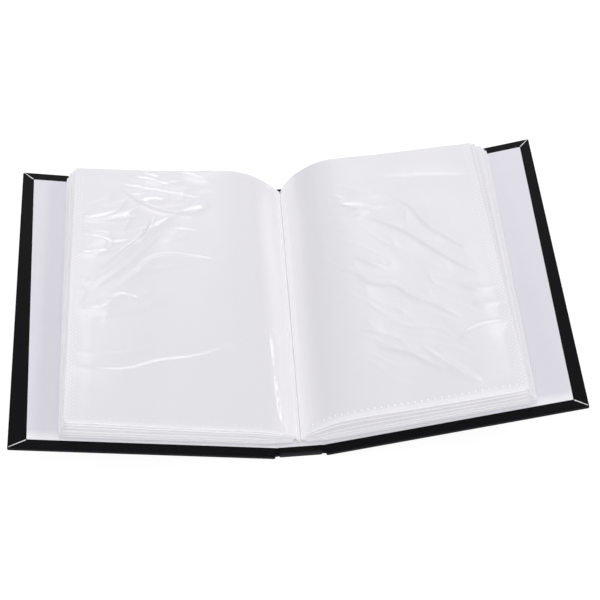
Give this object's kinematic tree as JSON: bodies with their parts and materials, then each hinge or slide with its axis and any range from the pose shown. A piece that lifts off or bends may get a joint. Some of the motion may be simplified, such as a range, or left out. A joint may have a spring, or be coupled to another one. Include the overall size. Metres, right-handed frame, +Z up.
{
  "type": "pocket photo album",
  "caption": "Small case-bound photo album, open in a shallow V: black covered boards with white linings, hinged at the spine, and clear film pocket leaves open at the head.",
  "frame": {"origin": "centre of the spine's outer face, on the table", "axes": "+X across the open album toward the back cover, +Y along the spine toward the head, +Z up"},
  "size_m": [0.2662, 0.165, 0.0354],
  "materials": {
    "covering": "fine-grained satin",
    "board": "matt",
    "lining": "smooth matt",
    "film": "glossy, slightly milky",
    "glue": "satin"
  },
  "bodies": {
    "spine": {"spine_board": "board", "spine_covering": "covering", "spine_lining": "lining", "binding": "glue", "front_joint": "covering", "back_joint": "covering", "front_margins": "film", "back_margins": "film"},
    "front_cover": {"front_board": "board", "front_covering": "covering", "front_lining": "lining", "leaf_01": "film", "leaf_02": "film", "leaf_03": "film", "leaf_04": "film", "leaf_05": "film", "leaf_06": "film", "leaf_07": "film", "leaf_08": "film", "leaf_09": "film"},
    "back_cover": {"back_board": "board", "back_covering": "covering", "back_lining": "lining", "leaf_12": "film", "leaf_13": "film", "leaf_14": "film", "leaf_15": "film", "leaf_16": "film", "leaf_17": "film", "leaf_18": "film", "leaf_19": "film", "leaf_20": "film"},
    "leaf_root": {"leaf_10_root": "film"},
    "leaf_margin": {"leaf_10_margin": "film"},
    "leaf_weld": {"leaf_10_weld": "film"},
    "leaf_pocket": {"leaf_10": "film"},
    "back_leaf_margin": {"leaf_11_margin": "film"},
    "back_leaf_pocket": {"leaf_11": "film"}
  },
  "joints": [
    {"name": "front_cover_hinge", "type": "hinge", "parent": "spine", "child": "front_cover", "pos_m": [-0.0116, 0, 0.0014], "axis": [0, 1, 0], "range_deg": [-12.2, 74], "deforming": ["front_margins"]},
    {"name": "back_cover_hinge", "type": "hinge", "parent": "spine", "child": "back_cover", "pos_m": [0.0116, 0, 0.0014], "axis": [0, -1, 0], "range_deg": [-12.2, 74], "deforming": ["back_margins", "leaf_11_margin", "leaf_11"]},
    {"name": "leaf_root_flex", "type": "hinge", "parent": "spine", "child": "leaf_root", "pos_m": [0, 0, 0.0044], "axis": [0, 1, 0], "range_deg": [-9, 52.5]},
    {"name": "leaf_turn", "type": "hinge", "parent": "leaf_root", "child": "leaf_margin", "pos_m": [-0.00126, 0, 0.0062], "axis": [0, -1, 0], "range_deg": [-103, 0], "deforming": ["leaf_10_root", "leaf_10_margin", "leaf_10_weld", "leaf_10"]},
    {"name": "leaf_weld_flex", "type": "hinge", "parent": "leaf_margin", "child": "leaf_weld", "pos_m": [-0.02568, 0, 0.02269], "axis": [0, 1, 0], "range_deg": [-5, 27.5]},
    {"name": "leaf_fold", "type": "hinge", "parent": "leaf_weld", "child": "leaf_pocket", "pos_m": [-0.0285, 0, 0.0237], "axis": [0, -1, 0], "range_deg": [-63, 0]},
    {"name": "back_leaf_flex", "type": "hinge", "parent": "spine", "child": "back_leaf_margin", "pos_m": [0.00075, 0, 0.0044], "axis": [0, -1, 0], "range_deg": [-8, 46]},
    {"name": "back_leaf_fold", "type": "hinge", "parent": "back_leaf_margin", "child": "back_leaf_pocket", "pos_m": [0.0255, 0, 0.0273], "axis": [0, -1, 0], "range_deg": [-6.5, 37]}
  ],
  "couplings": [
    {"joint": "leaf_root_flex", "follows": "front_cover_hinge", "ratio": 0.7},
    {"joint": "leaf_weld_flex", "follows": "front_cover_hinge", "ratio": 0.361},
    {"joint": "leaf_fold", "follows": "leaf_turn", "ratio": 0.61},
    {"joint": "back_leaf_flex", "follows": "back_cover_hinge", "ratio": 0.611},
    {"joint": "back_leaf_fold", "follows": "back_cover_hinge", "ratio": 0.495}
  ]
}
